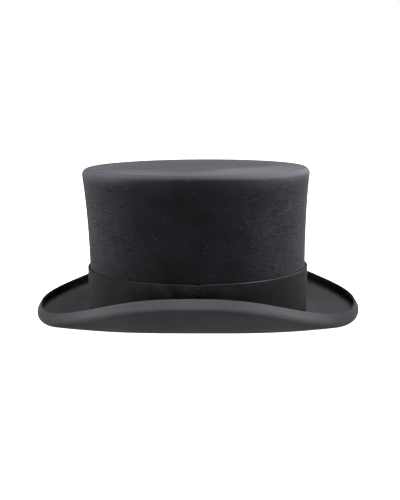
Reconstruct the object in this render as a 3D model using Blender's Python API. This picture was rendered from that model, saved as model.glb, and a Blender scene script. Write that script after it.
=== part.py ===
"""A stiff felt top hat, in the layers that a hatter builds it from.

Metres, +Z up. X runs along the head, with the front of the hat at -X, and Y runs across it, with the wearer's
left at -Y. The origin is on the surface that the hat stands on, below the middle of the crown.

Every piece is a section swept round the same oval. A section is a list of (offset, height) points, where the
offset is measured outwards, square to the oval of the crown's foot.
"""

import math

import bmesh
import bpy

SEGMENTS = 60  # round the whole oval
GAP = 0.0003  # left between pieces that touch

# The oval of the crown's foot, outside the felt, and its shape above
HALF_LENGTH = 0.1017
HALF_WIDTH = 0.0877
CROWN_HEIGHT = 0.1401
CROWN_FELT = 0.0018
WAIST = 0.0503  # the wall is upright below this height
FLARE = 0.00365  # how far the wall leans out between the waist and the shoulder
FLARE_POWER = 2.3
SHOULDER_RADIUS = 0.0056
FORWARD_LEAN = 0.0007  # of the tip over the foot

# The brim. A pair holds the value at the front and back, and the value at the middle of each side.
BRIM_FELT = 0.0022
HEADLINE_RISE = 0.0058  # of the crown's foot at the sides, over the front and back
HEADLINE_POWER = 4.2
TURN_UP_POWER = 3.7  # how late the brim turns up, going from the front round to the side
CURL_POWER = 5.0  # the same for the rest of its section
FULLER_IN_FRONT = 0.04  # how much more the brim turns up in front than behind
REACH = (0.0476, 0.0342)  # along the felt, from the crown to the start of the roll
SLOPE_AT_CROWN = (-0.6, 11.0)  # degrees
SLOPE_BEFORE_ROLL = (7.4, 93.0)
ROLL_RADIUS = (0.0056, 0.0053)
SLOPE_OF_LIP = (122.0, 138.0)
LIP_WIDTH = (0.0056, 0.0080)
COLLAR_FELT = 0.0014
COLLAR_HEIGHT = 0.013
BEND_RADIUS = 0.0004  # of the upper face, where the brim turns up into its collar
BEND_OFFSET = BEND_RADIUS - CROWN_FELT - GAP
BEND_DEPTH = BEND_RADIUS + BRIM_FELT
BEND_WIDTH = BEND_RADIUS + COLLAR_FELT

# The hat band
BAND_CLOTH = 0.0018
BAND_TOP = 0.0483
BAND_TOP_RISE = 0.0009  # at the sides
BAND_JOIN_ANGLE = math.radians(-88)
BAND_JOIN_WIDTH = 0.0005

# Behind the felt
STIFFENER_CLOTH = 0.0007
STIFFENER_FOOT = 0.0175  # over the headline
TIP_BOARD = 0.001
SATIN = 0.0004
LINING_FOOT = 0.040  # over the headline, behind the leather
PIPING_RADIUS = 0.001

# The sweatband
LEATHER = 0.0009
SWEATBAND_FOOT = 0.0031  # over the headline
SWEATBAND_TOP = 0.060  # over the headline
SWEATBAND_JOIN_WIDTH = 0.0006
REED_RADIUS = 0.0008
REED_HEIGHT = 0.0016  # of its middle, over the headline
TAPE_CLOTH = 0.0003
TAPE_TOP = 0.0068  # over the headline
BOW_HALF_LENGTH = 0.012
BOW_HEIGHT = 0.0125  # of its middle, over the headline
BOW_KNOT = 0.0018  # half height at the knot
BOW_LOOP = 0.0042  # half height at the loops
BOW_THICKNESS = 0.0012
TICKET_HALF_LENGTH = 0.008
TICKET_FOOT = 0.030  # over the headline
TICKET_HEIGHT = 0.011
TICKET_PAPER = 0.00025
TICKET_ANGLE = math.radians(24)

# Offsets of the layers behind the felt, each at its outer face
STIFFENER_OFFSET = -CROWN_FELT - GAP
LINING_OFFSET = STIFFENER_OFFSET - STIFFENER_CLOTH - GAP
SWEATBAND_OFFSET = LINING_OFFSET - SATIN - GAP
TRIM_OFFSET = SWEATBAND_OFFSET - LEATHER - GAP
REED_OFFSET = BEND_OFFSET - BEND_WIDTH - REED_RADIUS - TAPE_CLOTH - 2 * GAP

SHOULDER = CROWN_HEIGHT - SHOULDER_RADIUS
BRIM_STEPS = (6, 4, 1)  # of the section, along the reach, the roll and the lip
ARC_STEPS = 4


def between(pair, share):
    return pair[0] + (pair[1] - pair[0]) * share


def side_share(angle, power=CURL_POWER):
    """0 at the front and back of the brim, 1 at the middle of each side."""
    return abs(math.sin(angle)) ** power * (1 - FULLER_IN_FRONT * math.cos(angle))


def brim_slopes(angle):
    """The slope of the brim's underside at the crown, before the roll and at the lip, in radians."""
    share = side_share(angle)
    first, lip = between(SLOPE_AT_CROWN, share), between(SLOPE_OF_LIP, share)
    turn = between(SLOPE_BEFORE_ROLL, side_share(angle, TURN_UP_POWER))
    return math.radians(first), math.radians(turn), math.radians(lip)


def flare(height):
    lifted = max(0.0, (height - WAIST) / (SHOULDER - WAIST))
    return FLARE * min(1.0, lifted) ** FLARE_POWER


def arc(centre, radii, start, end, steps):
    """Points (offset, height) round a centre, from one angle to another, in degrees from straight out."""
    turns = [math.radians(start + (end - start) * i / steps) for i in range(steps + 1)]
    return [(centre[0] + radii[0] * math.cos(t), centre[1] + radii[1] * math.sin(t)) for t in turns]


def brim_underside(angle):
    """Points (offset, height over the headline, slope) from the crown out to the lip."""
    share = side_share(angle)
    first, turn, lip = brim_slopes(angle)
    offset = BEND_OFFSET + BEND_WIDTH * math.sin(first)
    height = BEND_DEPTH * (1 - math.cos(first))
    points = [(offset, height, first)]
    roll = between(ROLL_RADIUS, share) * (lip - turn)
    stretches = (
        (between(REACH, share), first, turn),
        (roll, turn, lip),
        (between(LIP_WIDTH, share), lip, lip),
    )
    for (length, start, end), steps in zip(stretches, BRIM_STEPS):
        for i in range(steps):
            middle = start + (end - start) * (i + 0.5) / steps
            offset += length / steps * math.cos(middle)
            height += length / steps * math.sin(middle)
            points.append((offset, height, start + (end - start) * (i + 1) / steps))
    return points


# The brim's lowest points, at the front and back, are what the hat stands on.
HEADLINE_AT_FRONT = -min(height for offset, height, slope in brim_underside(math.pi))


def headline(angle):
    """Height of the brim's underside where the head goes in."""
    return HEADLINE_AT_FRONT + HEADLINE_RISE * abs(math.sin(angle)) ** HEADLINE_POWER


def brim_top(angle, offset):
    """Height of the brim's upper face close to the crown."""
    slope, turn, lip = brim_slopes(angle)
    bend = (turn - slope) / between(REACH, side_share(angle))
    run = offset - BEND_OFFSET
    rise = run * math.tan(slope) + 0.5 * bend * run**2
    return headline(angle) + BRIM_FELT / math.cos(slope) + rise


def place(angle, offset, height):
    """The point at an offset from the oval."""
    x, y = HALF_LENGTH * math.cos(angle), HALF_WIDTH * math.sin(angle)
    out_x, out_y = math.cos(angle) / HALF_LENGTH, math.sin(angle) / HALF_WIDTH
    length = math.hypot(out_x, out_y)
    lean = FORWARD_LEAN * max(0.0, (height - WAIST) / (CROWN_HEIGHT - WAIST))
    return x + offset * out_x / length - lean, y + offset * out_y / length, height


def material(name, colour, roughness):
    made = bpy.data.materials.new(name)
    made.use_nodes = True
    shader = made.node_tree.nodes["Principled BSDF"]
    shader.inputs["Base Color"].default_value = (*colour, 1.0)
    shader.inputs["Roughness"].default_value = roughness
    shader.inputs["Metallic"].default_value = 0.0
    return made


def swept(name, look, section, span=None, centres=None, steps=SEGMENTS):
    """One piece: its section swept round the oval.

    span holds the first and last angle of a piece that doesn't go all the way round, which gets flat ends.
    centres holds two heights on the hat's axis, which close an open section above and below, as in a disc.
    """
    shape = bmesh.new()
    first, last = span or (0.0, 2 * math.pi)
    count = steps + 1 if span else steps
    rings = []
    for i in range(count):
        angle = first + (last - first) * i / steps
        rings.append([shape.verts.new(place(angle, *point)) for point in section(angle)])
    size = len(rings[0])
    rows = size - 1 if centres else size
    for i in range(count - 1 if span else count):
        here, there = rings[i], rings[(i + 1) % count]
        for j in range(rows):
            k = (j + 1) % size
            shape.faces.new((here[j], there[j], there[k], here[k]))
    if span:
        shape.faces.new(rings[0])
        shape.faces.new(reversed(rings[-1]))
    if centres:
        for row, height in zip((0, -1), centres):
            middle = shape.verts.new((rings[0][row].co + rings[count // 2][row].co) / 2)
            middle.co.y, middle.co.z = 0.0, height
            for i in range(count):
                shape.faces.new((middle, rings[i][row], rings[(i + 1) % count][row]))
    bmesh.ops.recalc_face_normals(shape, faces=shape.faces)
    mesh = bpy.data.meshes.new(name)
    shape.to_mesh(mesh)
    shape.free()
    mesh.shade_smooth()
    mesh.set_sharp_from_angle(angle=math.radians(40))
    mesh.materials.append(look)
    piece = bpy.data.objects.new(name, mesh)
    bpy.context.scene.collection.objects.link(piece)
    return piece


def joined_span(angle, width, offset):
    """The span of a band whose two ends meet at this angle, a small width apart."""
    tangent = math.hypot(
        (HALF_LENGTH + offset) * math.sin(angle), (HALF_WIDTH + offset) * math.cos(angle)
    )
    half = width / 2 / tangent
    return angle + half, angle + 2 * math.pi - half


def short_span(angle, half_length, offset):
    """The span of a short piece, centred on this angle."""
    start, end = joined_span(angle, 2 * half_length, offset)
    return end - 2 * math.pi, start


def crown_section(angle):
    corner = (FLARE - SHOULDER_RADIUS, SHOULDER)
    inner_radius = SHOULDER_RADIUS - CROWN_FELT
    heights = [SHOULDER - (SHOULDER - WAIST) * i / 4 for i in range(1, 5)]
    outer = arc(corner, (SHOULDER_RADIUS, SHOULDER_RADIUS), 90, 0, ARC_STEPS)
    outer += [(flare(z), z) for z in heights]
    outer.append((0.0, brim_top(angle, 0.0) + GAP))
    inner = arc(corner, (inner_radius, inner_radius), 90, 0, ARC_STEPS)
    inner += [(flare(z) - CROWN_FELT, z) for z in heights]
    inner.append((-CROWN_FELT, brim_top(angle, 0.0) + GAP))
    return outer + inner[::-1]


def brim_section(angle):
    rise = headline(angle)
    underside = brim_underside(angle)
    bend = (BEND_OFFSET, rise + BEND_DEPTH)
    collar_top = rise + BEND_DEPTH + COLLAR_HEIGHT
    outer = [(BEND_OFFSET - BEND_WIDTH, collar_top)]
    outer += arc(bend, (BEND_WIDTH, BEND_DEPTH), 180, 240, 2)
    outer += [(offset, rise + height) for offset, height, slope in underside]
    inner = [(BEND_OFFSET - BEND_RADIUS, collar_top), (BEND_OFFSET - BEND_RADIUS, rise + BEND_DEPTH)]
    inner += [
        (offset - BRIM_FELT * math.sin(slope), rise + height + BRIM_FELT * math.cos(slope))
        for offset, height, slope in underside
    ]
    return outer + inner[::-1]


def band_section(angle):
    top = BAND_TOP + BAND_TOP_RISE * math.sin(angle) ** 2
    outer = GAP + BAND_CLOTH
    foot = brim_top(angle, outer) + GAP
    return [(GAP, foot), (outer, foot), (outer, top), (GAP, top)]


def wall_layer(offset, thickness, foot, top, steps):
    """The section of a thin layer behind the wall, from a height over the headline to a fixed height."""

    def section(angle):
        low = headline(angle) + foot
        heights = [low + (top - low) * i / steps for i in range(steps + 1)]
        outer = [(offset + flare(z), z) for z in heights]
        inner = [(offset + flare(z) - thickness, z) for z in heights]
        return outer + inner[::-1]

    return section


def disc(name, look, offset, top, thickness):
    section = [(offset, top), (offset, top - thickness)]
    return swept(name, look, lambda angle: section, centres=(top, top - thickness))


def cord_ring(name, look, offset, height, radius, over_headline):
    def section(angle):
        middle = height + headline(angle) if over_headline else height
        return arc((offset, middle), (radius, radius), 0, 300, 5)

    return swept(name, look, section)


def sweatband_section(angle):
    low, high = headline(angle) + SWEATBAND_FOOT, headline(angle) + SWEATBAND_TOP
    inner = SWEATBAND_OFFSET - LEATHER
    return [(SWEATBAND_OFFSET, low), (SWEATBAND_OFFSET, high), (inner, high), (inner, low)]


def tape_section(angle):
    """The tape goes under the reed and up over the foot of the leather."""
    rise = headline(angle)
    reed = (REED_OFFSET, rise + REED_HEIGHT)
    inside, outside = REED_RADIUS + GAP, REED_RADIUS + GAP + TAPE_CLOTH
    foot, top = rise + SWEATBAND_FOOT, rise + TAPE_TOP
    near = arc(reed, (inside, inside), 0, -180, ARC_STEPS) + [(TRIM_OFFSET, foot), (TRIM_OFFSET, top)]
    far = arc(reed, (outside, outside), 0, -180, ARC_STEPS)
    far += [(TRIM_OFFSET - TAPE_CLOTH, foot), (TRIM_OFFSET - TAPE_CLOTH, top)]
    return near + far[::-1]


def patch(offset, thickness, height_range):
    """The section of a flat piece on the leather, where height_range gives its low and high edge."""

    def section(angle):
        low, high = height_range(angle)
        return [(offset, low), (offset, high), (offset - thickness, high), (offset - thickness, low)]

    return section


def bow_heights(angle):
    """The low and high edge of a bow, narrow at its knot."""
    across = min(1.0, abs(angle) * HALF_WIDTH / BOW_HALF_LENGTH)
    half = BOW_KNOT + (BOW_LOOP - BOW_KNOT) * math.sin(across * math.pi / 2)
    middle = headline(angle) + BOW_HEIGHT
    return middle - half, middle + half


def ticket_heights(angle):
    low = headline(angle) + TICKET_FOOT
    return low, low + TICKET_HEIGHT


def build_felts():
    felt = material("grey_felt", (0.03, 0.03, 0.034), 0.9)
    cloth = material("band_cloth", (0.01, 0.01, 0.012), 0.85)
    swept("crown_felt", felt, crown_section, centres=(CROWN_HEIGHT, CROWN_HEIGHT - CROWN_FELT))
    swept("brim_felt", felt.copy(), brim_section)
    span = joined_span(BAND_JOIN_ANGLE, BAND_JOIN_WIDTH, BAND_CLOTH)
    swept("hat_band", cloth, band_section, span=span)


def build_stiffeners():
    buckram = material("buckram", (0.55, 0.47, 0.33), 0.9)
    board = material("tip_board", (0.5, 0.42, 0.3), 0.9)
    shell = wall_layer(STIFFENER_OFFSET, STIFFENER_CLOTH, STIFFENER_FOOT, SHOULDER - GAP, 4)
    swept("crown_stiffener", buckram, shell)
    edge = FLARE + STIFFENER_OFFSET - SHOULDER_RADIUS / 2
    disc("tip_stiffener", board, edge, CROWN_HEIGHT - CROWN_FELT - GAP, TIP_BOARD)


def build_lining():
    satin = material("satin", (0.8, 0.74, 0.6), 0.35)
    lining_top = CROWN_HEIGHT - CROWN_FELT - TIP_BOARD - 2 * GAP
    piping_height = lining_top - SATIN - GAP - PIPING_RADIUS
    piping_offset = FLARE + LINING_OFFSET - SATIN - GAP - PIPING_RADIUS
    side_top = piping_height - PIPING_RADIUS - GAP
    swept("lining_side", satin, wall_layer(LINING_OFFSET, SATIN, LINING_FOOT, side_top, 3))
    disc("lining_tip", satin.copy(), piping_offset, lining_top, SATIN)
    cord_ring("lining_piping", satin.copy(), piping_offset, piping_height, PIPING_RADIUS, False)


def build_sweatband():
    leather = material("tan_leather", (0.34, 0.17, 0.08), 0.5)
    tape = material("tape_cloth", (0.16, 0.11, 0.08), 0.8)
    reed = material("reed", (0.7, 0.62, 0.45), 0.5)
    ribbon = material("bow_ribbon", (0.12, 0.07, 0.05), 0.5)
    paper = material("ticket_paper", (0.85, 0.83, 0.76), 0.8)
    span = joined_span(0.0, SWEATBAND_JOIN_WIDTH, SWEATBAND_OFFSET)
    swept("sweatband", leather, sweatband_section, span=span)
    cord_ring("sweatband_reed", reed, REED_OFFSET, REED_HEIGHT, REED_RADIUS, True)
    swept("sweatband_tape", tape, tape_section)
    bow = patch(TRIM_OFFSET, BOW_THICKNESS, bow_heights)
    swept("sweatband_bow", ribbon, bow, short_span(0.0, BOW_HALF_LENGTH, TRIM_OFFSET), steps=12)
    ticket = patch(TRIM_OFFSET, TICKET_PAPER, ticket_heights)
    span = short_span(TICKET_ANGLE, TICKET_HALF_LENGTH, TRIM_OFFSET)
    swept("size_ticket", paper, ticket, span, steps=4)


def main():
    for old in list(bpy.data.objects):
        bpy.data.objects.remove(old)
    build_felts()
    build_stiffeners()
    build_lining()
    build_sweatband()


main()
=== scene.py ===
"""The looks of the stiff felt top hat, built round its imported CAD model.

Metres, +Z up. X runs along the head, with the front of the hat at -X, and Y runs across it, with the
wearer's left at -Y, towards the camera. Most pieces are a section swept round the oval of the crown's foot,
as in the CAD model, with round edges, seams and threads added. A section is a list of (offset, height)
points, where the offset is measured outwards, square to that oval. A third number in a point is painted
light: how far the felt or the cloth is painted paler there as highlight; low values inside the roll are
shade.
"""

import math

import bmesh
import bpy
import numpy as np
from mathutils import Matrix, Vector


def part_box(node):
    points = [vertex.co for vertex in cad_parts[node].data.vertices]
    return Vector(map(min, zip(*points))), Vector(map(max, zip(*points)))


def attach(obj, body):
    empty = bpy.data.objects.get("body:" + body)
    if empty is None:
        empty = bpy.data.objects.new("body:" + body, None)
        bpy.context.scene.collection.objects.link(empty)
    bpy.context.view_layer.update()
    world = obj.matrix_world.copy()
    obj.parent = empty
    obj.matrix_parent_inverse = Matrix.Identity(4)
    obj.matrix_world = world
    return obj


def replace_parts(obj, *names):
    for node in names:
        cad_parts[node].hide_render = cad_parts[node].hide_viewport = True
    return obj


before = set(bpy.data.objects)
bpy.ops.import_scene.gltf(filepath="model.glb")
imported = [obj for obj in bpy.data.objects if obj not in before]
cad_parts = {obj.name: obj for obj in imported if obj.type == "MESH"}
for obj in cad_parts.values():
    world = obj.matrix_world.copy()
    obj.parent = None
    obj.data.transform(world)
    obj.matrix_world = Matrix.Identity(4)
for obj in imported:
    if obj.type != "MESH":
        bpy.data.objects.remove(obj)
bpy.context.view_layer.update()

# ---- Driving dimensions, the same as the CAD model's ----

GAP = 0.0003  # between pieces that lie on each other
HALF_LENGTH = 0.1017  # of the oval of the crown's foot
HALF_WIDTH = 0.0877
CROWN_HEIGHT = 0.1401
CROWN_FELT = 0.0018
WAIST = 0.0503  # the height where the wall starts to flare out
FLARE = 0.00365  # how far it has flared out at the shoulder
FLARE_POWER = 2.3
SHOULDER_RADIUS = 0.0056
SHOULDER = CROWN_HEIGHT - SHOULDER_RADIUS  # the height where the wall turns into the tip
FORWARD_LEAN = 0.0007  # of the tip

# The brim. A pair holds the value at the front and back, and the value at the middle of each side. Slopes
# are in degrees.
BRIM_FELT = 0.0022
HEADLINE_RISE = 0.0058  # from the front and back to the middle of each side
HEADLINE_POWER = 4.2  # the higher a power, the narrower the stretch of each side that rises or turns up
TURN_UP_POWER = 3.7
CURL_POWER = 5.0
FULLER_IN_FRONT = 0.04  # the part by which the brim curls more towards the front, and less towards the back
REACH = (0.0476, 0.0342)
SLOPE_AT_CROWN = (-0.6, 11.0)
SLOPE_BEFORE_ROLL = (7.4, 93.0)
ROLL_RADIUS = (0.0056, 0.0053)
SLOPE_OF_LIP = (122.0, 138.0)
LIP_WIDTH = (0.0056, 0.0080)
COLLAR_FELT = 0.0014  # the brim turns up inside the crown's foot, as a thinner collar
COLLAR_HEIGHT = 0.013
BEND_RADIUS = 0.0004
BEND_OFFSET = BEND_RADIUS - CROWN_FELT - GAP
BEND_DEPTH = BEND_RADIUS + BRIM_FELT
BEND_WIDTH = BEND_RADIUS + COLLAR_FELT
BRIM_STEPS = (24, 16, 6)  # of the section, along the reach, the roll and the lip
RAW_EDGE = 0.0007  # how deep the cut edge of the brim is rounded

# The hat band
BAND_CLOTH = 0.0018
BAND_TOP = 0.0483
BAND_TOP_RISE = 0.0009  # at the middle of each side
BAND_JOIN_ANGLE = math.radians(-88)
BAND_JOIN_WIDTH = 0.0005

# Behind the felt
STIFFENER_CLOTH = 0.0007
STIFFENER_FOOT = 0.0175
TIP_BOARD = 0.001
SATIN = 0.0004
LINING_FOOT = 0.040
PIPING_RADIUS = 0.001
STIFFENER_OFFSET = -CROWN_FELT - GAP
LINING_OFFSET = STIFFENER_OFFSET - STIFFENER_CLOTH - GAP
LINING_TOP = CROWN_HEIGHT - CROWN_FELT - TIP_BOARD - 2 * GAP
PIPING_HEIGHT = LINING_TOP - SATIN - GAP - PIPING_RADIUS
PIPING_OFFSET = FLARE + LINING_OFFSET - SATIN - GAP - PIPING_RADIUS

# The sweatband
LEATHER = 0.0009
SWEATBAND_FOOT = 0.0031
SWEATBAND_TOP = 0.060
SWEATBAND_JOIN_WIDTH = 0.0006
SWEATBAND_OFFSET = LINING_OFFSET - SATIN - GAP
TRIM_OFFSET = SWEATBAND_OFFSET - LEATHER - GAP
REED_RADIUS = 0.0008
REED_HEIGHT = 0.0016
TAPE_CLOTH = 0.0003
TAPE_TOP = 0.0068
REED_OFFSET = BEND_OFFSET - BEND_WIDTH - REED_RADIUS - TAPE_CLOTH - 2 * GAP

SEGMENTS = 288  # round the whole oval


# ---- The hat's shape ----


def between(pair, share):
    return pair[0] + (pair[1] - pair[0]) * share


def smooth_step(low, high, value):
    share = min(1.0, max(0.0, (value - low) / (high - low)))
    return share * share * (3 - 2 * share)


def side_share(angle, power=CURL_POWER):
    """0 at the front and back of the brim, 1 at the middle of each side."""
    return abs(math.sin(angle)) ** power * (1 - FULLER_IN_FRONT * math.cos(angle))


def brim_slopes(angle):
    """The slope of the brim's underside at the crown, before the roll and at the lip, in radians."""
    share = side_share(angle)
    first, lip = between(SLOPE_AT_CROWN, share), between(SLOPE_OF_LIP, share)
    turn = between(SLOPE_BEFORE_ROLL, side_share(angle, TURN_UP_POWER))
    return math.radians(first), math.radians(turn), math.radians(lip)


def flare(height):
    """How far the wall stands out from the oval of the crown's foot."""
    lifted = max(0.0, (height - WAIST) / (SHOULDER - WAIST))
    return FLARE * min(1.0, lifted) ** FLARE_POWER


def arc(centre, radii, start, end, steps):
    """Points (offset, height) round a centre, from one angle to another, in degrees from straight out."""
    turns = [math.radians(start + (end - start) * i / steps) for i in range(steps + 1)]
    return [(centre[0] + radii[0] * math.cos(t), centre[1] + radii[1] * math.sin(t)) for t in turns]


def brim_underside(angle):
    """Points (offset, height over the headline, slope) from the crown out to the lip."""
    share = side_share(angle)
    first, turn, lip = brim_slopes(angle)
    offset = BEND_OFFSET + BEND_WIDTH * math.sin(first)
    height = BEND_DEPTH * (1 - math.cos(first))
    points = [(offset, height, first)]
    roll = between(ROLL_RADIUS, share) * (lip - turn)
    stretches = (
        (between(REACH, share), first, turn),
        (roll, turn, lip),
        (between(LIP_WIDTH, share) - RAW_EDGE, lip, lip),
    )
    for (length, start, end), steps in zip(stretches, BRIM_STEPS):
        for i in range(steps):
            middle = start + (end - start) * (i + 0.5) / steps
            offset += length / steps * math.cos(middle)
            height += length / steps * math.sin(middle)
            points.append((offset, height, start + (end - start) * (i + 1) / steps))
    return points


# The brim's lowest points, at the front and back, are on the ground.
HEADLINE_AT_FRONT = -min(height for offset, height, slope in brim_underside(math.pi))


def headline(angle):
    """Height of the brim's underside where the head goes in."""
    return HEADLINE_AT_FRONT + HEADLINE_RISE * abs(math.sin(angle)) ** HEADLINE_POWER


def brim_top(angle, offset):
    """Height of the brim's upper face close to the crown."""
    first, turn, _ = brim_slopes(angle)
    bend = (turn - first) / between(REACH, side_share(angle))
    run = offset - BEND_OFFSET
    rise = run * math.tan(first) + 0.5 * bend * run**2
    return headline(angle) + BRIM_FELT / math.cos(first) + rise


def place(angle, offset, height):
    """The point at an offset from the oval."""
    x, y = HALF_LENGTH * math.cos(angle), HALF_WIDTH * math.sin(angle)
    out_x, out_y = math.cos(angle) / HALF_LENGTH, math.sin(angle) / HALF_WIDTH
    length = math.hypot(out_x, out_y)
    lean = FORWARD_LEAN * max(0.0, (height - WAIST) / (CROWN_HEIGHT - WAIST))
    return x + offset * out_x / length - lean, y + offset * out_y / length, height


def turn_for(distance, angle, offset):
    """The change of angle that goes this far round the oval."""
    return distance / math.hypot(
        (HALF_LENGTH + offset) * math.sin(angle), (HALF_WIDTH + offset) * math.cos(angle)
    )


def joined_span(angle, width, offset):
    """The first and last angle of a band whose two ends meet at this angle, a small width apart."""
    half = turn_for(width / 2, angle, offset)
    return angle + half, angle + 2 * math.pi - half


def unevenness(angle, height, seed):
    """From -1 to 1: the gentle unevenness of what is shaped by hand. It closes on itself round the oval."""
    waves = ((3, 23.0), (5, -41.0), (8, 67.0), (13, -90.0))
    return sum(math.sin(n * angle + k * height + seed * (n + 1)) for n, k in waves) / len(waves)


def rounded(corners, radius, steps=3):
    """A closed outline with its corners rounded off."""
    points = []
    for i, corner in enumerate(corners):
        corner, before, after = (Vector(corners[k % len(corners)]) for k in (i, i - 1, i + 1))
        start = corner + (before - corner).normalized() * radius
        end = corner + (after - corner).normalized() * radius
        for j in range(steps + 1):
            t = j / steps
            points.append(tuple(start * (1 - t) ** 2 + corner * 2 * t * (1 - t) + end * t * t))
    return points


# ---- Making pieces ----


def finished(name, shape, look, smooth_below=40):
    """The piece that holds this bmesh, on the hat's one body."""
    bmesh.ops.recalc_face_normals(shape, faces=shape.faces)
    mesh = bpy.data.meshes.new(name)
    shape.to_mesh(mesh)
    shape.free()
    mesh.shade_smooth()
    mesh.set_sharp_from_angle(angle=math.radians(smooth_below))
    mesh.materials.append(look)
    piece = bpy.data.objects.new(name, mesh)
    bpy.context.scene.collection.objects.link(piece)
    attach(piece, "root")
    return piece


def joined_rings(shape, rings, ends=True):
    """Faces from each ring of vertices to the next, and over the first and the last ring."""
    for here, there in zip(rings, rings[1:]):
        for j in range(len(here)):
            k = (j + 1) % len(here)
            shape.faces.new((here[j], here[k], there[k], there[j]))
    if ends:
        shape.faces.new(rings[0])
        shape.faces.new(rings[-1])


def lengths_along(points):
    """The distance from the first point to each of the others, along them."""
    steps = np.linalg.norm(np.diff(np.asarray(points), axis=0), axis=1)
    return np.concatenate([[0.0], np.cumsum(steps)])


DISC_SHARES = (0.97, 0.93, 0.86, 0.76, 0.64, 0.5, 0.36, 0.22, 0.1)  # of the way out to a disc's edge
HIGHLIGHT_FADES = 0.33  # the part of the way in over which a disc's painted highlight fades
HIGHLIGHT_IN_MIDDLE = 0.12  # of the painted highlight at a disc's edge


def disc_highlight(edge):
    """Rows of painted highlight for disc_rows. The stronger it is at the edge, the further in it reaches."""
    reaches_to = 0.72 - 0.7 * edge
    rows = []
    for share in DISC_SHARES:
        kept = np.clip((share - reaches_to) / HIGHLIGHT_FADES, 0.0, 1.0)
        kept = kept * kept * (3 - 2 * kept)
        rows.append(edge * (HIGHLIGHT_IN_MIDDLE + (1 - HIGHLIGHT_IN_MIDDLE) * kept))
    return rows


def disc_rows(edge, rise):
    """Rows from a disc's edge in to near its middle, and its middle. rise(angle, share) is their height."""
    middle = edge.mean(axis=0)
    angles = np.linspace(0, 2 * math.pi, len(edge), endpoint=False)
    rows = []
    for share in DISC_SHARES:
        row = middle + (edge - middle) * share
        row[:, 2] += [rise(angle, share) for angle in angles]
        rows.append(row)
    return rows, middle + np.array([0, 0, rise(0.0, 0.0)])


def swept(name, look, section, cad_node, angles=None, caps=None, segments=SEGMENTS, smooth_below=40):
    """A section swept round the oval, which replaces a CAD node.

    angles are those of a piece that doesn't go all the way round, which gets flat ends.
    caps hold two functions, the rise of the discs that close an open section at its start and its end.
    The UV map "lay" is in metres: round the oval, and along the section.
    The float attribute on the points holds how much painted highlight each point gets.
    """
    whole = angles is None
    if whole:
        angles = [2 * math.pi * i / segments for i in range(segments)]
    outlines = [section(angle) for angle in angles]
    grid = np.array([[place(a, *point[:2]) for point in outline] for a, outline in zip(angles, outlines)])
    rows = list(grid.transpose(1, 0, 2))
    # The third number of each point: its painted highlight.
    highlight = [np.array([point[2] if len(point) > 2 else 0.0 for point in row]) for row in zip(*outlines)]
    middles = []
    if caps:
        first_rows, first_middle = disc_rows(rows[0], caps[0])
        last_rows, last_middle = disc_rows(rows[-1], caps[1])
        rows = first_rows[::-1] + rows + last_rows
        # Each disc's painted highlight runs in from its edge towards its middle.
        highlight = disc_highlight(highlight[0])[::-1] + highlight + disc_highlight(highlight[-1])
        middles = [first_middle, last_middle]
    shape = bmesh.new()
    lay = shape.loops.layers.uv.new("lay")
    painted_light = shape.verts.layers.float.new("painted_light")
    points = [[shape.verts.new(point) for point in row] for row in rows]
    for row, amounts in zip(points, highlight):
        for point, amount in zip(row, amounts):
            point[painted_light] = amount
    round_it = [place(angle, 0.0, 0.0) for angle in angles + angles[:1]]
    u = lengths_along(round_it)
    v = lengths_along([row[0] for row in rows] + [rows[0][0]])
    count = len(rows[0])
    for k in range(len(rows) - 1 if caps else len(rows)):
        here, there = points[k], points[(k + 1) % len(rows)]
        for i in range(count if whole else count - 1):
            j = (i + 1) % count
            face = shape.faces.new((here[i], here[j], there[j], there[i]))
            corners = ((u[i], v[k]), (u[i + 1], v[k]), (u[i + 1], v[k + 1]), (u[i], v[k + 1]))
            for loop, corner in zip(face.loops, corners):
                loop[lay].uv = corner
    for row, middle in zip((points[0], points[-1]), middles):
        hub = shape.verts.new(middle)
        hub[painted_light] = sum(point[painted_light] for point in row) / count
        for i in range(count):
            shape.faces.new((hub, row[i], row[(i + 1) % count]))
    if not whole:
        shape.faces.new([row[0] for row in points])
        shape.faces.new([row[-1] for row in reversed(points)])
    piece = finished(name, shape, look, smooth_below)
    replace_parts(piece, cad_node)
    return piece


def flat_cap(angle, share):
    """The rise of a flat disc."""
    return 0.0


# ---- Materials ----


def node(tree, kind, inputs=None, **settings):
    """A new node. An input is a value, or the socket that it is joined to."""
    made = tree.nodes.new("ShaderNode" + kind)
    for key, value in settings.items():
        setattr(made, key, value)
    for key, value in (inputs or {}).items():
        if isinstance(value, bpy.types.NodeSocket):
            tree.links.new(value, made.inputs[key])
        else:
            made.inputs[key].default_value = value
    return made


def started(name, **values):
    """A material, its node tree, its shader, and the positions on the object, in metres."""
    made = bpy.data.materials.new(name)
    made.use_nodes = True
    tree = made.node_tree
    shader = tree.nodes["Principled BSDF"]
    for key, value in values.items():
        shader.inputs[key.replace("_", " ")].default_value = value
    where = node(tree, "TexCoord").outputs["Object"]
    return made, tree, shader, where


def noise(tree, where, size, detail=2.0, stretch=(1, 1, 1)):
    """Noise with features of about this size in metres, stretched by these factors."""
    scaled = node(tree, "Mapping", {"Vector": where, "Scale": [1 / (size * s) for s in stretch]})
    inputs = {"Vector": scaled.outputs[0], "Scale": 1.0, "Detail": detail}
    return node(tree, "TexNoise", inputs).outputs["Fac"]


def remapped(tree, value, low, high, to_low=0.0, to_high=1.0):
    """The value moved from one range to another, and kept inside it."""
    inputs = {"Value": value, "From Min": low, "From Max": high, "To Min": to_low, "To Max": to_high}
    return node(tree, "MapRange", inputs).outputs[0]


def combined(tree, operation, first, *others):
    """The values joined by one operation, from left to right."""
    for other in others:
        first = node(tree, "Math", {0: first, 1: other}, operation=operation).outputs[0]
    return first


def places(tree, where):
    """X and how far it is from the middle, Y, and Z."""
    x, y, z = node(tree, "SeparateXYZ", {"Vector": where}).outputs
    return x, node(tree, "Math", {0: x}, operation="ABSOLUTE").outputs[0], y, z


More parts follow.
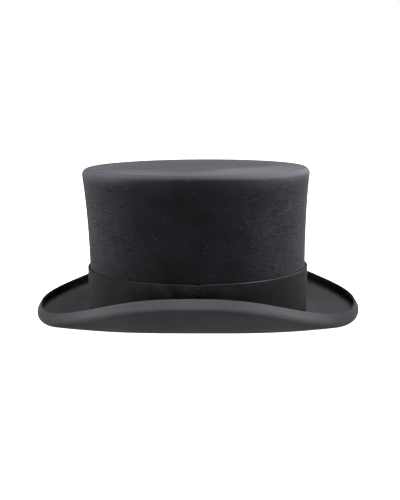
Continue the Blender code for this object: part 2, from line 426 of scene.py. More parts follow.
def shades(tree, value, dark, light):
    """A colour from dark, where the value is 0, to light, where it is 1."""
    ramp = node(tree, "ValToRGB", {"Fac": value})
    ramp.color_ramp.elements[0].color = (*dark, 1)
    ramp.color_ramp.elements[1].color = (*light, 1)
    return ramp.outputs["Color"]


def mixed(tree, share, first, second):
    """The first colour where the share is 0, and the second where it is 1."""
    mix = node(tree, "Mix", {0: share}, data_type="RGBA")
    for index, colour in ((6, first), (7, second)):
        if isinstance(colour, bpy.types.NodeSocket):
            tree.links.new(colour, mix.inputs[index])
        else:
            mix.inputs[index].default_value = (*colour, 1)
    return mix.outputs[2]


def bumped(tree, shader, height, depth):
    """Gives the shader a relief this deep, in metres, where the height goes from 0 to 1."""
    relief = node(tree, "Bump", {"Height": height, "Distance": depth, "Strength": 1.0})
    tree.links.new(relief.outputs["Normal"], shader.inputs["Normal"])


BAND_PERIOD = 0.31416  # of Blender's wave texture, at scale 1


def waves(tree, where, axis, period):
    """Ridges across an axis, this far apart in metres, from 0 to 1."""
    inputs = {"Vector": where, "Scale": BAND_PERIOD / period}
    made = node(tree, "TexWave", inputs, wave_type="BANDS", bands_direction=axis, wave_profile="SIN")
    return made.outputs["Fac"]


def lay_map(tree):
    return node(tree, "UVMap", uv_map="lay").outputs["UV"]


# How much painted highlight each point gets.
def painted_light_map(tree):
    return node(tree, "Attribute", attribute_name="painted_light").outputs["Fac"]


def streaked(tree, marks, where, size):
    """A tone from fine marks, over broad soft patches of this size."""
    patches = remapped(tree, noise(tree, where, size), 0.3, 0.7, 0.0, 0.4)
    return combined(tree, "ADD", combined(tree, "MULTIPLY", marks, 0.6), patches)


NAP_SHINE = (0.9, 0.885, 1.0, 1.0)  # faintly violet
SPECK_COLOUR = (0.2, 0.194, 0.214)
SPECK_CELLS = 420.0  # a metre, of which about one in nine holds a speck


def ruffling(tree, where):
    """How ruffled the nap is: most to both sides of the middle of the wall, and less on the far side."""
    x, aside, y, z = places(tree, where)
    behind = remapped(tree, x, 0.01, 0.08, 0.14, 1.0)
    ahead = remapped(tree, x, -0.09, -0.03, 1.0, 0.14)
    near_ends = remapped(tree, aside, 0.08, 0.105, 1.0, 0.4)
    far_side = remapped(tree, y, -0.03, 0.03, 1.0, 0.5)
    on_wall = remapped(tree, z, SHOULDER - 0.006, SHOULDER + 0.002, 1.0, 0.25)
    return combined(
        tree, "MULTIPLY", combined(tree, "MAXIMUM", behind, ahead), near_ends, far_side, on_wall
    )


def specked(tree, where, surface):
    """The surface with stray pale fibres on it, here and there."""
    cells = node(tree, "TexVoronoi", {"Vector": where, "Scale": SPECK_CELLS}, feature="F1")
    lot = node(tree, "SeparateXYZ", {0: cells.outputs["Color"]}).outputs["X"]
    chosen = remapped(tree, lot, 0.88, 0.90)
    near = remapped(tree, cells.outputs["Distance"], 0.10, 0.05)
    return mixed(tree, combined(tree, "MULTIPLY", chosen, near), surface, SPECK_COLOUR)


def felt(name, dark, light, painted_light, flecks):
    """Fur felt with a brushed nap that lies round the crown, and a paler colour painted on as highlight.

    flecks, from 0 to 1, is how strong the marks in the nap are.
    """
    made, tree, shader, where = started(
        name,
        Roughness=0.9,
        Specular_IOR_Level=0.04,
        Specular_Tint=NAP_SHINE,
        Sheen_Weight=0.027,
        Sheen_Roughness=0.3,
        Sheen_Tint=NAP_SHINE,
    )
    clouds = noise(tree, where, 0.02, 3.0, (1.5, 1.5, 1.0))
    nap = noise(tree, where, 0.0009, 3.0, (6.0, 6.0, 1.0))
    strokes = noise(tree, where, 0.0008, 1.0, (9.0, 9.0, 1.0))
    fibres = noise(tree, where, 0.0004, 2.0, (2.5, 2.5, 1.0))
    creases = noise(tree, where, 0.0014, 2.0, (4.5, 4.5, 1.0))
    marks = combined(
        tree,
        "ADD",
        remapped(tree, nap, 0.3, 0.7, -0.2 * flecks, 0.2 * flecks),
        remapped(tree, fibres, 0.3, 0.7, -0.12, 0.12),
        remapped(tree, strokes, 0.6, 0.7, 0.0, 0.6 * flecks),
        remapped(tree, creases, 0.58, 0.66, 0.0, -0.45 * flecks),
    )
    marks = combined(tree, "MULTIPLY", marks, ruffling(tree, where))
    tone = combined(tree, "ADD", marks, remapped(tree, clouds, 0.3, 0.7, 0.3, 0.56))
    # Painted highlight: the felt's colour is mixed towards this paler one by each point's painted amount.
    highlight_colour = shades(tree, tone, [0.75 * c for c in painted_light], [1.35 * c for c in painted_light])
    surface = mixed(tree, painted_light_map(tree), shades(tree, tone, dark, light), highlight_colour)
    tree.links.new(specked(tree, where, surface), shader.inputs["Base Color"])
    soft, fine = combined(tree, "MULTIPLY", nap, 0.7), combined(tree, "MULTIPLY", fibres, 0.3)
    relief = combined(tree, "ADD", soft, fine)
    bumped(tree, shader, relief, 0.00035)
    return made


def band_cloth():
    """Black cloth with a fine diagonal weave, painted lighter at the middle of the hat's left side and on its
    top fold.
    """
    made, tree, shader, where = started("hat_band_cloth", Roughness=0.85, Specular_IOR_Level=0.04)
    lay = lay_map(tree)
    turned = node(tree, "Mapping", {"Vector": lay, "Rotation": (0, 0, math.radians(58))}).outputs[0]
    twill = waves(tree, turned, "X", 0.00055)
    slubs = noise(tree, lay, 0.0006, 2.0, (5.0, 1.0, 1.0))
    patches = noise(tree, where, 0.02, 2.0)
    weave = combined(tree, "ADD", slubs, combined(tree, "MULTIPLY", twill, 0.35))
    _, aside, y, _ = places(tree, where)
    # Painted light and shade: lighter at the middle of the hat's left side, darker towards the front, back
    # and right side.
    lit_middle = remapped(tree, aside, 0.02, 0.075, 1.0, 0.03)
    lit_near_side = remapped(tree, y, -0.06, 0.0, 1.0, 0.1)
    tone = remapped(tree, combined(tree, "MULTIPLY", weave, patches), 0.15, 0.6)
    tone = combined(tree, "MULTIPLY", tone, lit_middle, lit_near_side)
    colour = shades(tree, tone, (0.0024, 0.0023, 0.0026), (0.0268, 0.0261, 0.0292))
    # Painted highlight: the top fold is mixed towards this paler colour.
    colour = mixed(tree, painted_light_map(tree), colour, (0.09, 0.088, 0.095))
    tree.links.new(colour, shader.inputs["Base Color"])
    bumped(tree, shader, combined(tree, "ADD", twill, slubs), 0.00012)
    return made


def woven(name, dark, light, thread, roughness=0.75):
    """Plain-woven cloth, with threads this wide in metres."""
    made, tree, shader, where = started(name, Roughness=roughness, Specular_IOR_Level=0.3, Sheen_Weight=0.05)
    lay = lay_map(tree)
    weave = combined(tree, "MULTIPLY", waves(tree, lay, "X", thread), waves(tree, lay, "Y", thread))
    tone = streaked(tree, weave, where, 0.01)
    tree.links.new(shades(tree, tone, dark, light), shader.inputs["Base Color"])
    bumped(tree, shader, weave, thread * 0.3)
    return made


def satin():
    """Ivory satin: its long floats shine across the light."""
    made, tree, shader, where = started(
        "ivory_satin", Roughness=0.34, Specular_IOR_Level=0.6, Sheen_Weight=0.15, Anisotropic=0.5
    )
    floats = noise(tree, lay_map(tree), 0.0004, 2.0, (1.0, 9.0, 1.0))
    tone = streaked(tree, floats, where, 0.03)
    tree.links.new(shades(tree, tone, (0.55, 0.49, 0.37), (0.80, 0.74, 0.61)), shader.inputs["Base Color"])
    bumped(tree, shader, floats, 0.00004)
    return made


def leather():
    """Tan sheepskin, with pores and small creases."""
    made, tree, shader, where = started("tan_leather", Roughness=0.48, Specular_IOR_Level=0.45)
    pores = node(tree, "TexVoronoi", {"Vector": where, "Scale": 950.0}, feature="DISTANCE_TO_EDGE")
    grain = remapped(tree, pores.outputs["Distance"], 0.0, 0.22)
    creases = noise(tree, where, 0.004, 4.0, (1.0, 1.0, 2.5))
    stain = noise(tree, where, 0.025, 3.0)
    stained = remapped(tree, stain, 0.3, 0.7, 0.0, 0.7)
    tone = combined(tree, "ADD", combined(tree, "MULTIPLY", grain, 0.3), stained)
    tree.links.new(shades(tree, tone, (0.13, 0.055, 0.022), (0.36, 0.19, 0.085)), shader.inputs["Base Color"])
    tree.links.new(remapped(tree, stain, 0.3, 0.7, 0.4, 0.6), shader.inputs["Roughness"])
    bumped(tree, shader, combined(tree, "ADD", grain, creases), 0.00015)
    return made


def mottled(name, dark, light, size, roughness, depth):
    """A plain material with soft variation, for paper, thread, reed and board."""
    made, tree, shader, where = started(name, Roughness=roughness, Specular_IOR_Level=0.3)
    spots = noise(tree, where, size, 4.0)
    tree.links.new(shades(tree, remapped(tree, spots, 0.3, 0.7), dark, light), shader.inputs["Base Color"])
    bumped(tree, shader, spots, depth)
    return made


# ---- The felt ----

WALL_ROWS = 34  # from the shoulder to the foot
WALL_UNEVENNESS = 0.00012
TIP_DOME = 0.0004
TIP_UNEVENNESS = 0.0003
BRIM_UNEVENNESS = 0.00025


def crown_section(angle):
    """From the tip's edge round the shoulder and down the wall, and back up the inside of the felt."""
    corner = (FLARE - SHOULDER_RADIUS, SHOULDER)
    inner_radius = SHOULDER_RADIUS - CROWN_FELT
    foot = brim_top(angle, 0.0) + GAP
    heights = [SHOULDER - (SHOULDER - foot) * i / WALL_ROWS for i in range(1, WALL_ROWS + 1)]
    outer = arc(corner, (SHOULDER_RADIUS, SHOULDER_RADIUS), 90, 0, 12)
    outer += [(flare(z) + WALL_UNEVENNESS * unevenness(angle, z, 1.7), z) for z in heights]
    # Painted highlight on the outer face, down from the tip's edge round the shoulder.
    outer = [(offset, z, shoulder_highlight(angle, z)) for offset, z in outer]
    inner = [(flare(z) - CROWN_FELT, z) for z in heights[::-3]]
    return outer + inner + arc(corner, (inner_radius, inner_radius), 0, 90, 6)


def lobe(angle, middle, power):
    """1 in the middle, in degrees round the oval, and less to both sides of it."""
    return max(0.0, math.cos(angle - math.radians(middle))) ** power


def tip_highlight(angle):
    """Painted highlight: the tip's edge is painted pale, most of all on the hat's left, to both sides of the
    middle.
    """
    return 0.12 + 0.5 * lobe(angle, -46, 3) + 0.26 * lobe(angle, -125, 8)


def shoulder_highlight(angle, height):
    """The painted highlight goes from the tip down round the shoulder, and fades out at the top of the wall.
    """
    lit_amount = 1.2 * lobe(angle, -30, 2) + 1.8 * lobe(angle, -145, 4)
    corner = smooth_step(CROWN_HEIGHT, CROWN_HEIGHT - 0.0008, height)
    lit_down = smooth_step(SHOULDER + 0.003 - 0.005 * lit_amount, SHOULDER + 0.0053, height)
    fading = (0.1 + 0.06 * lit_amount) * smooth_step(SHOULDER - 0.01, SHOULDER + 0.003, height)
    return tip_highlight(angle) * (1 + 1.3 * corner) * max(lit_down, fading)


def tip_rise(angle, share):
    """The tip is very slightly domed, and uneven except at its middle and its edge."""
    uneven = share**2 * (1 - share**4) * unevenness(angle, share * 0.05, 4.1)
    return TIP_DOME * (1 - share**2) + TIP_UNEVENNESS * uneven


def lip_highlight(angle, slope):
    """Painted highlight on the underside, most of all on the outer face of the lip, which faces up, and
    hardly at the front and back.
    """
    _, turn, lip = brim_slopes(angle)
    at_ends = smooth_step(0.5, 0.93, abs(math.cos(angle)))
    lit_amount = smooth_step(turn + 0.1 * (lip - turn), turn + 0.75 * (lip - turn), slope)
    return 0.4 - 0.4 * at_ends + (0.6 - 0.55 * at_ends) * lit_amount


def upper_light_and_shade(slope):
    """Painted light on the upper face: paler where it is nearly flat, and painted shade inside the roll."""
    return 0.17 + 0.23 * (1 - smooth_step(math.radians(30), math.radians(90), slope))


def lip_rounding(underside, steps=6):
    """Points (offset, height) round the raw edge, from the underside to the upper face."""
    offset, height, slope = underside[-1]
    ahead = Vector((math.cos(slope), math.sin(slope)))
    across = Vector((-math.sin(slope), math.cos(slope))) * BRIM_FELT / 2
    middle = Vector((offset, height)) + across
    turns = [math.pi * i / steps for i in range(1, steps)]
    return [tuple(middle - across * math.cos(t) + ahead * RAW_EDGE * math.sin(t)) for t in turns]


def brim_section(angle):
    """From the collar inside the crown out along the underside to the lip, and back over the upper face."""
    rise = headline(angle)
    underside = brim_underside(angle)
    # Painted highlight on the underside and on its raw edge.
    edge_highlight = 0.8 * lip_highlight(angle, math.pi)
    bend = (BEND_OFFSET, rise + BEND_DEPTH)
    collar_top = rise + BEND_DEPTH + COLLAR_HEIGHT
    points = [(BEND_OFFSET - BEND_WIDTH, collar_top)]
    points += arc(bend, (BEND_WIDTH, BEND_DEPTH), 180, 240, 4)
    points += [(offset, rise + height, lip_highlight(angle, slope)) for offset, height, slope in underside]
    points += [(offset, rise + height, edge_highlight) for offset, height in lip_rounding(underside)]
    # The upper face: painted light where it is flat, painted shade inside the roll.
    for offset, height, slope in reversed(underside):
        inward, up = BRIM_FELT * math.sin(slope), BRIM_FELT * math.cos(slope)
        points.append((offset - inward, rise + height + up, upper_light_and_shade(slope)))
    points += [(BEND_OFFSET - BEND_RADIUS, rise + BEND_DEPTH), (BEND_OFFSET - BEND_RADIUS, collar_top)]
    wobble = BRIM_UNEVENNESS * unevenness(angle, 0.0, 2.9)
    return [(p[0], p[1] + wobble * smooth_step(0.02, 0.04, p[0]), *p[2:]) for p in points]


def build_felts():
    # The third colour of each felt is the paler one painted on as highlight.
    wall = felt(
        "crown_fur_felt",
        dark=(0.0014, 0.00135, 0.0016),
        light=(0.0136, 0.0132, 0.0158),
        painted_light=(0.0425, 0.041, 0.0485),
        flecks=1.0,
    )
    brim = felt(
        "brim_fur_felt",
        dark=(0.002, 0.0018, 0.0022),
        light=(0.0068, 0.0064, 0.0077),
        painted_light=(0.0485, 0.0477, 0.0515),
        flecks=0.4,
    )
    swept("crown_felt.nap", wall, crown_section, "crown_felt", caps=(tip_rise, flat_cap))
    swept("brim_felt.nap", brim, brim_section, "brim_felt")


# ---- The hat band ----

BAND_FOLD = 0.0007  # radius of its folded edges
BAND_SLACK = 0.0004  # how far its top edge stands off the crown at the most
BAND_ROWS = 8  # up its outer face
BAND_UNEVENNESS = 0.0002
NOTCH_DEPTH = 0.0013  # how far the band's top edge drops at its join
NOTCH_WIDTH = 0.0065
NOTCH_STEPS = (0, 0.0004, 0.0009, 0.0016, 0.0026, 0.0038, 0.0052, 0.0068)  # distances from the join
JOIN_STITCHES = 8
JOIN_STITCH_HALF_LENGTH = 0.0011
JOIN_STITCH_SLANT = 0.0004


def band_angles():
    """Even steps round the oval, with more of them beside the join, where the top edge drops."""
    start, end = joined_span(BAND_JOIN_ANGLE, BAND_JOIN_WIDTH, BAND_CLOTH)
    near = [turn_for(distance, BAND_JOIN_ANGLE, BAND_CLOTH) for distance in NOTCH_STEPS]
    first, last = start + near[-1], end - near[-1]
    even = [first + (last - first) * i / SEGMENTS for i in range(1, SEGMENTS)]
    return [start + step for step in near] + even + [end - step for step in reversed(near)]


def from_join(angle):
    """Distance round the oval from the middle of the band's join."""
    turn = abs((angle - BAND_JOIN_ANGLE + math.pi) % (2 * math.pi) - math.pi)
    return turn * HALF_LENGTH


def band_section(angle):
    """The cloth is folded at the top and the bottom, and stands a little off the crown towards the back."""
    notch = NOTCH_DEPTH * max(0.0, 1 - from_join(angle) / NOTCH_WIDTH) ** 1.5
    top = BAND_TOP + BAND_TOP_RISE * math.sin(angle) ** 2 - notch
    top += BAND_UNEVENNESS * unevenness(angle, 0.0, 0.6)
    outer = GAP + BAND_CLOTH
    foot = brim_top(angle, outer) + GAP
    outline = rounded([(GAP, foot), (outer, foot), (outer, top), (GAP, top)], BAND_FOLD, 4)
    half = len(outline) // 2
    rows = [(outer, foot + (top - foot) * i / BAND_ROWS) for i in range(1, BAND_ROWS)]
    outline = outline[:half] + rows + outline[half:]
    behind = smooth_step(-0.8, 0.2, math.cos(angle))
    slack = BAND_SLACK * (0.5 + 0.5 * unevenness(angle, 0.0, 3.3)) * behind
    # Painted highlight along the top fold, stronger towards the back.
    lit_amount = 0.03 + (0.22 + 0.2 * unevenness(angle, 0.0, 1.1)) * behind
    section = []
    for offset, height in outline:
        highlight = lit_amount * smooth_step(top - 0.8 * BAND_FOLD, top - 0.2 * BAND_FOLD, height)
        section.append((offset + slack * smooth_step(foot, top, height) ** 2, height, highlight))
    return section


def thread_bar(shape, ends, out, radius, bow):
    """A stitch: a short round thread, bowed outwards between two points."""
    steps, sides = 6, 6
    start, end = (Vector(point) for point in ends)
    across = (end - start).normalized().cross(out).normalized()
    rings = []
    for i in range(steps + 1):
        t = i / steps
        centre = start.lerp(end, t) + out * bow * math.sin(math.pi * t)
        thick = radius * (0.35 + 0.65 * math.sin(math.pi * (0.08 + 0.84 * t)))
        ring = []
        for turn in [2 * math.pi * j / sides for j in range(sides)]:
            ring.append(shape.verts.new(centre + (out * math.cos(turn) + across * math.sin(turn)) * thick))
        rings.append(ring)
    joined_rings(shape, rings)


def build_band():
    cloth = band_cloth()
    thread = mottled("black_thread", (0.008, 0.008, 0.01), (0.03, 0.03, 0.035), 0.0005, 0.6, 0.00005)
    band = swept("hat_band.cloth", cloth, band_section, "hat_band", angles=band_angles())
    shape = bmesh.new()
    outer = GAP + BAND_CLOTH
    foot = brim_top(BAND_JOIN_ANGLE, outer)
    half = turn_for(JOIN_STITCH_HALF_LENGTH, BAND_JOIN_ANGLE, outer)
    for i in range(JOIN_STITCHES):
        height = foot + (BAND_TOP - foot) * (i + 0.5) / JOIN_STITCHES
        offset = outer + BAND_SLACK * smooth_step(foot, BAND_TOP, height) ** 2
        ends = [place(BAND_JOIN_ANGLE + s * half, offset, height + s * JOIN_STITCH_SLANT) for s in (-1, 1)]
        thread_bar(shape, ends, Vector((0, -1, 0)), radius=0.00022, bow=0.00018)
    stitches = finished("hat_band.stitches", shape, thread)


# ---- Behind the felt ----


def wall_layer(offset, thickness, foot, top, steps, inward=None):
    """The section of a thin layer behind the wall. inward(angle, height) is how far it is gathered in."""

    def section(angle):
        low = headline(angle) + foot
        heights = [low + (top - low) * i / steps for i in range(steps + 1)]
        outer = [(offset + flare(z) - (inward(angle, z) if inward else 0.0), z) for z in heights]
        return outer + [(o - thickness, z) for o, z in reversed(outer)]

    return section


TUCK_DEPTH = 0.0016
TUCKS = 46  # round the side lining
GATHERS = 54  # round the tip lining
LINING_SAG = 0.0012  # at the tip lining's middle
LINING_DROP = 0.0002  # just inside its edge


def tucks(angle, height):
    """The side lining hangs in soft vertical tucks above the leather."""
    starting = smooth_step(0.067, 0.085, height)
    ending = 1 - 0.75 * smooth_step(0.11, 0.133, height)
    fold = 0.5 + 0.5 * math.sin(TUCKS * angle + 1.4 * math.sin(5 * angle) + 9 * height)
    return TUCK_DEPTH * starting * ending * fold**1.5 * (0.7 + 0.3 * math.sin(7 * angle + 1.0))


def cord_ring(offset, height, radius, over_headline, sides=10):
    """The section of a round cord, its height taken over the headline or over the ground."""

    def section(angle):
        middle = height + headline(angle) if over_headline else height
        return arc((offset, middle), (radius, radius), 0, 360 * (sides - 1) / sides, sides - 1)

    return section


def disc_section(offset, top, thickness):
    """The section of a disc's rounded edge."""
    edge = min(0.0003, thickness / 2.2)
    corners = arc((offset - edge, top - thickness / 2), (edge, thickness / 2), 90, -90, 6)
    return lambda angle: corners


def lining_sag(angle, share):
    """The tip lining hangs a little below its edge, gathered into it all round."""
    gathers = 0.0024 * math.sin(GATHERS * angle) * smooth_step(0.6, 0.95, share) * (1 - share)
    return gathers - LINING_SAG * (1 - share**2) - LINING_DROP


def build_stiffeners():
    buckram = woven("buckram_gauze", (0.34, 0.27, 0.16), (0.62, 0.54, 0.38), 0.0011)
    board = mottled("buckram_board", (0.36, 0.29, 0.18), (0.55, 0.47, 0.33), 0.002, 0.9, 0.0001)
    shell = wall_layer(STIFFENER_OFFSET, STIFFENER_CLOTH, STIFFENER_FOOT, SHOULDER - GAP, steps=16)
    swept("crown_stiffener.shell", buckram, shell, "crown_stiffener", segments=144)
    edge = FLARE + STIFFENER_OFFSET - SHOULDER_RADIUS / 2
    disc = disc_section(edge, CROWN_HEIGHT - CROWN_FELT - GAP, TIP_BOARD)
    caps = (flat_cap, flat_cap)
    swept("tip_stiffener.board", board, disc, "tip_stiffener", caps=caps, segments=144)


def build_lining():
    cloth = satin()
    side_top = PIPING_HEIGHT - PIPING_RADIUS - GAP
    section = wall_layer(LINING_OFFSET, SATIN, LINING_FOOT, side_top, steps=24, inward=tucks)
    side = swept("lining_side.satin", cloth, section, "lining_side", segments=576)
    disc = disc_section(PIPING_OFFSET, LINING_TOP, SATIN)
    tip = swept("lining_tip.satin", cloth, disc, "lining_tip", caps=(lining_sag, lining_sag))
    cord = cord_ring(PIPING_OFFSET, PIPING_HEIGHT, PIPING_RADIUS, over_headline=False)
    piping = swept("lining_piping.cord", cloth, cord, "lining_piping", smooth_below=60)


# ---- The sweatband ----

SWEATBAND_ROWS = 12  # up each face
SWEATBAND_EDGE = 0.00035  # radius of the leather's edges
SWEATBAND_LEAN = 0.00025  # how far its top leans in at the most
STITCH_HEIGHT = 0.0055  # over the headline
STITCH_PITCH = 0.0032
STITCH_SHARE = 0.36  # half a stitch's length, of the pitch


def sweatband_section(angle):
    """The leather has rounded edges, and its top leans in a little in places."""
    low, high = headline(angle) + SWEATBAND_FOOT, headline(angle) + SWEATBAND_TOP
    inner = SWEATBAND_OFFSET - LEATHER
    corners = [(SWEATBAND_OFFSET, low), (SWEATBAND_OFFSET, high), (inner, high), (inner, low)]
    outline = rounded(corners, SWEATBAND_EDGE)
    corner = len(outline) // len(corners)
    rows = [low + (high - low) * i / SWEATBAND_ROWS for i in range(1, SWEATBAND_ROWS)]
    outside = [(SWEATBAND_OFFSET, height) for height in rows]
    inside = [(inner, height) for height in reversed(rows)]
    outline = outline[:corner] + outside + outline[corner:-corner] + inside + outline[-corner:]
    leaning = SWEATBAND_LEAN * (0.5 + 0.5 * unevenness(angle, 0.0, 5.2))
    return [(offset - leaning * smooth_step(low + 0.02, high, height), height) for offset, height in outline]


def tape_section(angle):
    """The tape goes under the reed and up over the foot of the leather."""
    rise = headline(angle)
    reed = (REED_OFFSET, rise + REED_HEIGHT)
    inside, outside = REED_RADIUS + GAP, REED_RADIUS + GAP + TAPE_CLOTH
    foot, top = rise + SWEATBAND_FOOT, rise + TAPE_TOP
    near = arc(reed, (inside, inside), 0, -180, 8) + [(TRIM_OFFSET, foot), (TRIM_OFFSET, top)]
    far = arc(reed, (outside, outside), 0, -180, 8)
    far += [(TRIM_OFFSET - TAPE_CLOTH, foot), (TRIM_OFFSET - TAPE_CLOTH, top)]
    return near + far[::-1]


def build_stitches(look):
    """A row of running stitches round the inside of the sweatband's tape."""
    shape = bmesh.new()
    offset = TRIM_OFFSET - TAPE_CLOTH - 0.00005
    angle = turn_for(STITCH_PITCH, 0.0, offset)
    while angle < 2 * math.pi - turn_for(STITCH_PITCH, 0.0, offset):
        step = turn_for(STITCH_PITCH * STITCH_SHARE, angle, offset)
        ends = [place(a, offset, headline(a) + STITCH_HEIGHT) for a in (angle - step, angle + step)]
        inward = -Vector((math.cos(angle) / HALF_LENGTH, math.sin(angle) / HALF_WIDTH, 0)).normalized()
        thread_bar(shape, ends, inward, radius=0.0002, bow=0.00012)
        angle += turn_for(STITCH_PITCH, angle, offset)
    return finished("sweatband_tape.stitches", shape, look)


# The bow is made along X and up Z, with its back at Y 0, and then turned into its place.
BOW_RIBBON = 0.00028  # its thickness
BOW_STEPS = 28  # round each loop
BOW_LOOP_OUT = 0.00085  # the middle of a loop, from the leather
BOW_LOOP_DEPTH = 0.00055
BOW_NARROW = 0.0017  # half its height beside the knot
KNOT_HALF_LENGTH = 0.0022
KNOT_HALF_HEIGHT = 0.0019
KNOT_DEPTH = 0.0011
KNOT_OUT = 0.00105
KNOT_STEPS = 16


def bow_loop(shape, side, half_length, half_height):
    """One loop of flat ribbon, to this side of the knot."""
    near, far = 0.0008, half_length - 0.0004
    middle, reach = side * (near + far) / 2, side * (far - near) / 2
    turns = [2 * math.pi * i / BOW_STEPS for i in range(BOW_STEPS)]
    path = [(middle + reach * math.cos(t), BOW_LOOP_OUT + BOW_LOOP_DEPTH * math.sin(t)) for t in turns]
    rings = []
    for i, (along, out) in enumerate(path):
        before, after = path[i - 1], path[(i + 1) % BOW_STEPS]
        normal = Vector((after[1] - before[1], before[0] - after[0])).normalized() * BOW_RIBBON / 2
        widening = smooth_step(0.0, 0.75, 0.5 + 0.5 * math.cos(turns[i]))
        half = between((BOW_NARROW, half_height - 0.0002), widening)
        corners = ((1, -half), (1, half), (-1, half), (-1, -half))
        rings.append([shape.verts.new((along + s * normal.x, out + s * normal.y, up)) for s, up in corners])
    joined_rings(shape, rings + rings[:1], ends=False)


def bow_knot(shape):
    """The short piece wrapped round the middle of the bow, fullest at its own middle."""
    turns = [2 * math.pi * i / KNOT_STEPS for i in range(KNOT_STEPS)]
    wrap = [(KNOT_HALF_HEIGHT * math.sin(t), KNOT_DEPTH * math.cos(t)) for t in turns]
    rings = []
    for share in (-1.0, -0.5, 0.0, 0.5, 1.0):
        along, swell = KNOT_HALF_LENGTH * share, 1.0 + 0.12 * (1 - share**2)
        rings.append([shape.verts.new((along, KNOT_OUT + out * swell, up * swell)) for up, out in wrap])
    joined_rings(shape, rings)


def build_bow(look):
    """A flat bow of ribbon at the back: two loops, and a short piece wrapped round their middle."""
    low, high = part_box("sweatband_bow")
    shape = bmesh.new()
    for side in (-1, 1):
        bow_loop(shape, side, (high[1] - low[1]) / 2, (high[2] - low[2]) / 2)
    bow_knot(shape)
    back = Vector(place(0.0, TRIM_OFFSET, (low[2] + high[2]) / 2))
    turned = Matrix(((0, -1, 0, back.x), (1, 0, 0, back.y), (0, 0, 1, back.z), (0, 0, 0, 1)))
    bmesh.ops.transform(shape, matrix=turned, verts=shape.verts)
    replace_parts(finished("sweatband_bow.ribbon", shape, look), "sweatband_bow")


TICKET_ANGLE = math.radians(24)
TICKET_FOOT = 0.030  # over the headline
TICKET_HALF_LENGTH = 0.008
TICKET_HEIGHT = 0.011
TICKET_CORNER = 0.0012
TICKET_PAPER = 0.00025
TICKET_CURL = 0.0006  # how far its ends lift off the leather


def build_ticket(look):
    """A blank paper ticket with rounded corners, following the leather."""
    low = headline(TICKET_ANGLE) + TICKET_FOOT
    shape = bmesh.new()
    half, high = TICKET_HALF_LENGTH, TICKET_HEIGHT
    outline = rounded([(-half, 0), (half, 0), (half, high), (-half, high)], TICKET_CORNER, 5)
    rings = []
    for layer in (0, 1):
        ring = []
        for along, up in outline:
            angle = TICKET_ANGLE + turn_for(along, TICKET_ANGLE, TRIM_OFFSET)
            lift = TICKET_CURL * (along / half) ** 4 + 0.0001
            ring.append(shape.verts.new(place(angle, TRIM_OFFSET - lift - layer * TICKET_PAPER, low + up)))
        rings.append(ring)
    joined_rings(shape, rings)
    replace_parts(finished("size_ticket.paper", shape, look, 30), "size_ticket")


def build_sweatband():
    skin = leather()
    cloth = woven("tape_weave", (0.035, 0.024, 0.018), (0.09, 0.066, 0.05), 0.0004)
    cane = mottled("reed_cane", (0.5, 0.42, 0.28), (0.72, 0.64, 0.48), 0.003, 0.45, 0.00003)
    ribbon = woven("ribbed_ribbon", (0.03, 0.016, 0.01), (0.10, 0.058, 0.04), 0.0005, 0.5)
    thread = mottled("tan_thread", (0.3, 0.2, 0.11), (0.52, 0.4, 0.26), 0.0006, 0.6, 0.00004)
    paper = mottled("plain_paper", (0.74, 0.71, 0.63), (0.86, 0.84, 0.78), 0.0015, 0.8, 0.00003)
    start, end = joined_span(0.0, SWEATBAND_JOIN_WIDTH, SWEATBAND_OFFSET)
    angles = [start + (end - start) * i / SEGMENTS for i in range(SEGMENTS + 1)]
    swept("sweatband.leather", skin, sweatband_section, "sweatband", angles=angles)
    reed = cord_ring(REED_OFFSET, REED_HEIGHT, REED_RADIUS, over_headline=True)
    swept("sweatband_reed.cane", cane, reed, "sweatband_reed", smooth_below=60)
    tape = swept("sweatband_tape.weave", cloth, tape_section, "sweatband_tape")
    stitches = build_stitches(thread)
    build_bow(ribbon)
    build_ticket(paper)


# ---- The studio ----

CAMERA_DISTANCE = 0.7019
CAMERA_ELEVATION = math.radians(11.505)
CAMERA_AZIMUTH = math.radians(2.12)
CAMERA_ROLL = math.radians(0.538)
CAMERA_LENS = 53.13
AIM = Vector((0.0026, 0.0, 0.0608))


def build_camera():
    data = bpy.data.cameras.new("camera")
    data.lens = CAMERA_LENS
    data.sensor_width = 36.0
    camera = bpy.data.objects.new("camera", data)
    bpy.context.scene.collection.objects.link(camera)
    level = math.cos(CAMERA_ELEVATION)
    away = Vector(
        (math.sin(CAMERA_AZIMUTH) * level, -math.cos(CAMERA_AZIMUTH) * level, math.sin(CAMERA_ELEVATION))
    )
    camera.location = AIM + away * CAMERA_DISTANCE
    looking = away.to_track_quat("Z", "Y").to_matrix() @ Matrix.Rotation(-CAMERA_ROLL, 3, "Z")
    camera.rotation_euler = looking.to_euler()
    bpy.context.scene.camera = camera


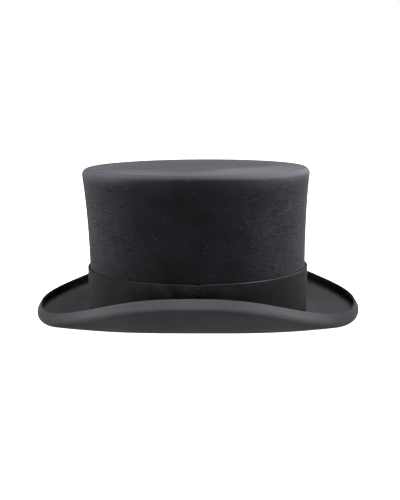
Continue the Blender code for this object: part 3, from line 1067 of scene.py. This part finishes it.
def add_light(name, location, aim, size, power):
    """A white soft box, turned towards its aim."""
    data = bpy.data.lights.new(name, "AREA")
    data.shape = "RECTANGLE"
    data.size, data.size_y = size
    data.energy = power
    light = bpy.data.objects.new(name, data)
    bpy.context.scene.collection.objects.link(light)
    light.location = location
    light.rotation_euler = (Vector(location) - Vector(aim)).to_track_quat("Z", "Y").to_euler()


def build_world():
    """Light from behind the hat, and little from before it, so the middle of its left side stays dark.

    The camera itself sees plain white in every direction.
    """
    world = bpy.data.worlds.new("studio")
    world.use_nodes = True
    bpy.context.scene.world = world
    tree = world.node_tree
    where = node(tree, "TexCoord").outputs["Generated"]
    behind = node(tree, "SeparateXYZ", {"Vector": where}).outputs["Y"]
    brightness = remapped(tree, behind, -0.3, 0.3, 0.04, 1.0)
    seen = node(tree, "LightPath").outputs["Is Camera Ray"]
    background = tree.nodes["Background"]
    tree.links.new(combined(tree, "MAXIMUM", brightness, seen), background.inputs["Strength"])
    background.inputs["Color"].default_value = (1, 1, 1, 1)


def build_floor():
    """A pale floor that gives light of its own, which whitens it and lights the brim from below."""
    bpy.ops.mesh.primitive_plane_add(size=60)
    floor = bpy.context.object
    floor.name = "floor"
    pale = bpy.data.materials.new("pale_floor")
    pale.use_nodes = True
    shader = pale.node_tree.nodes["Principled BSDF"]
    shader.inputs["Base Color"].default_value = (0.3, 0.3, 0.3, 1)
    shader.inputs["Roughness"].default_value = 0.9
    shader.inputs["Emission Color"].default_value = (1, 1, 1, 1)
    shader.inputs["Emission Strength"].default_value = 1.4
    floor.data.materials.append(pale)


def build_studio():
    bpy.context.scene.view_settings.view_transform = "Standard"
    build_world()
    build_floor()
    middle = (0, 0, 0.07)
    side_size = (0.6, 0.5)
    add_light("top", (0.15, 0.0, 1.1), middle, (1.1, 0.6), 36)
    add_light("left", (-1.05, 0.19, 0.25), middle, side_size, 41)
    add_light("right", (1.05, 0.19, 0.25), middle, side_size, 48)


build_camera()
build_felts()
build_band()
build_stiffeners()
build_lining()
build_sweatband()
build_studio()

bpy.context.view_layer.update()
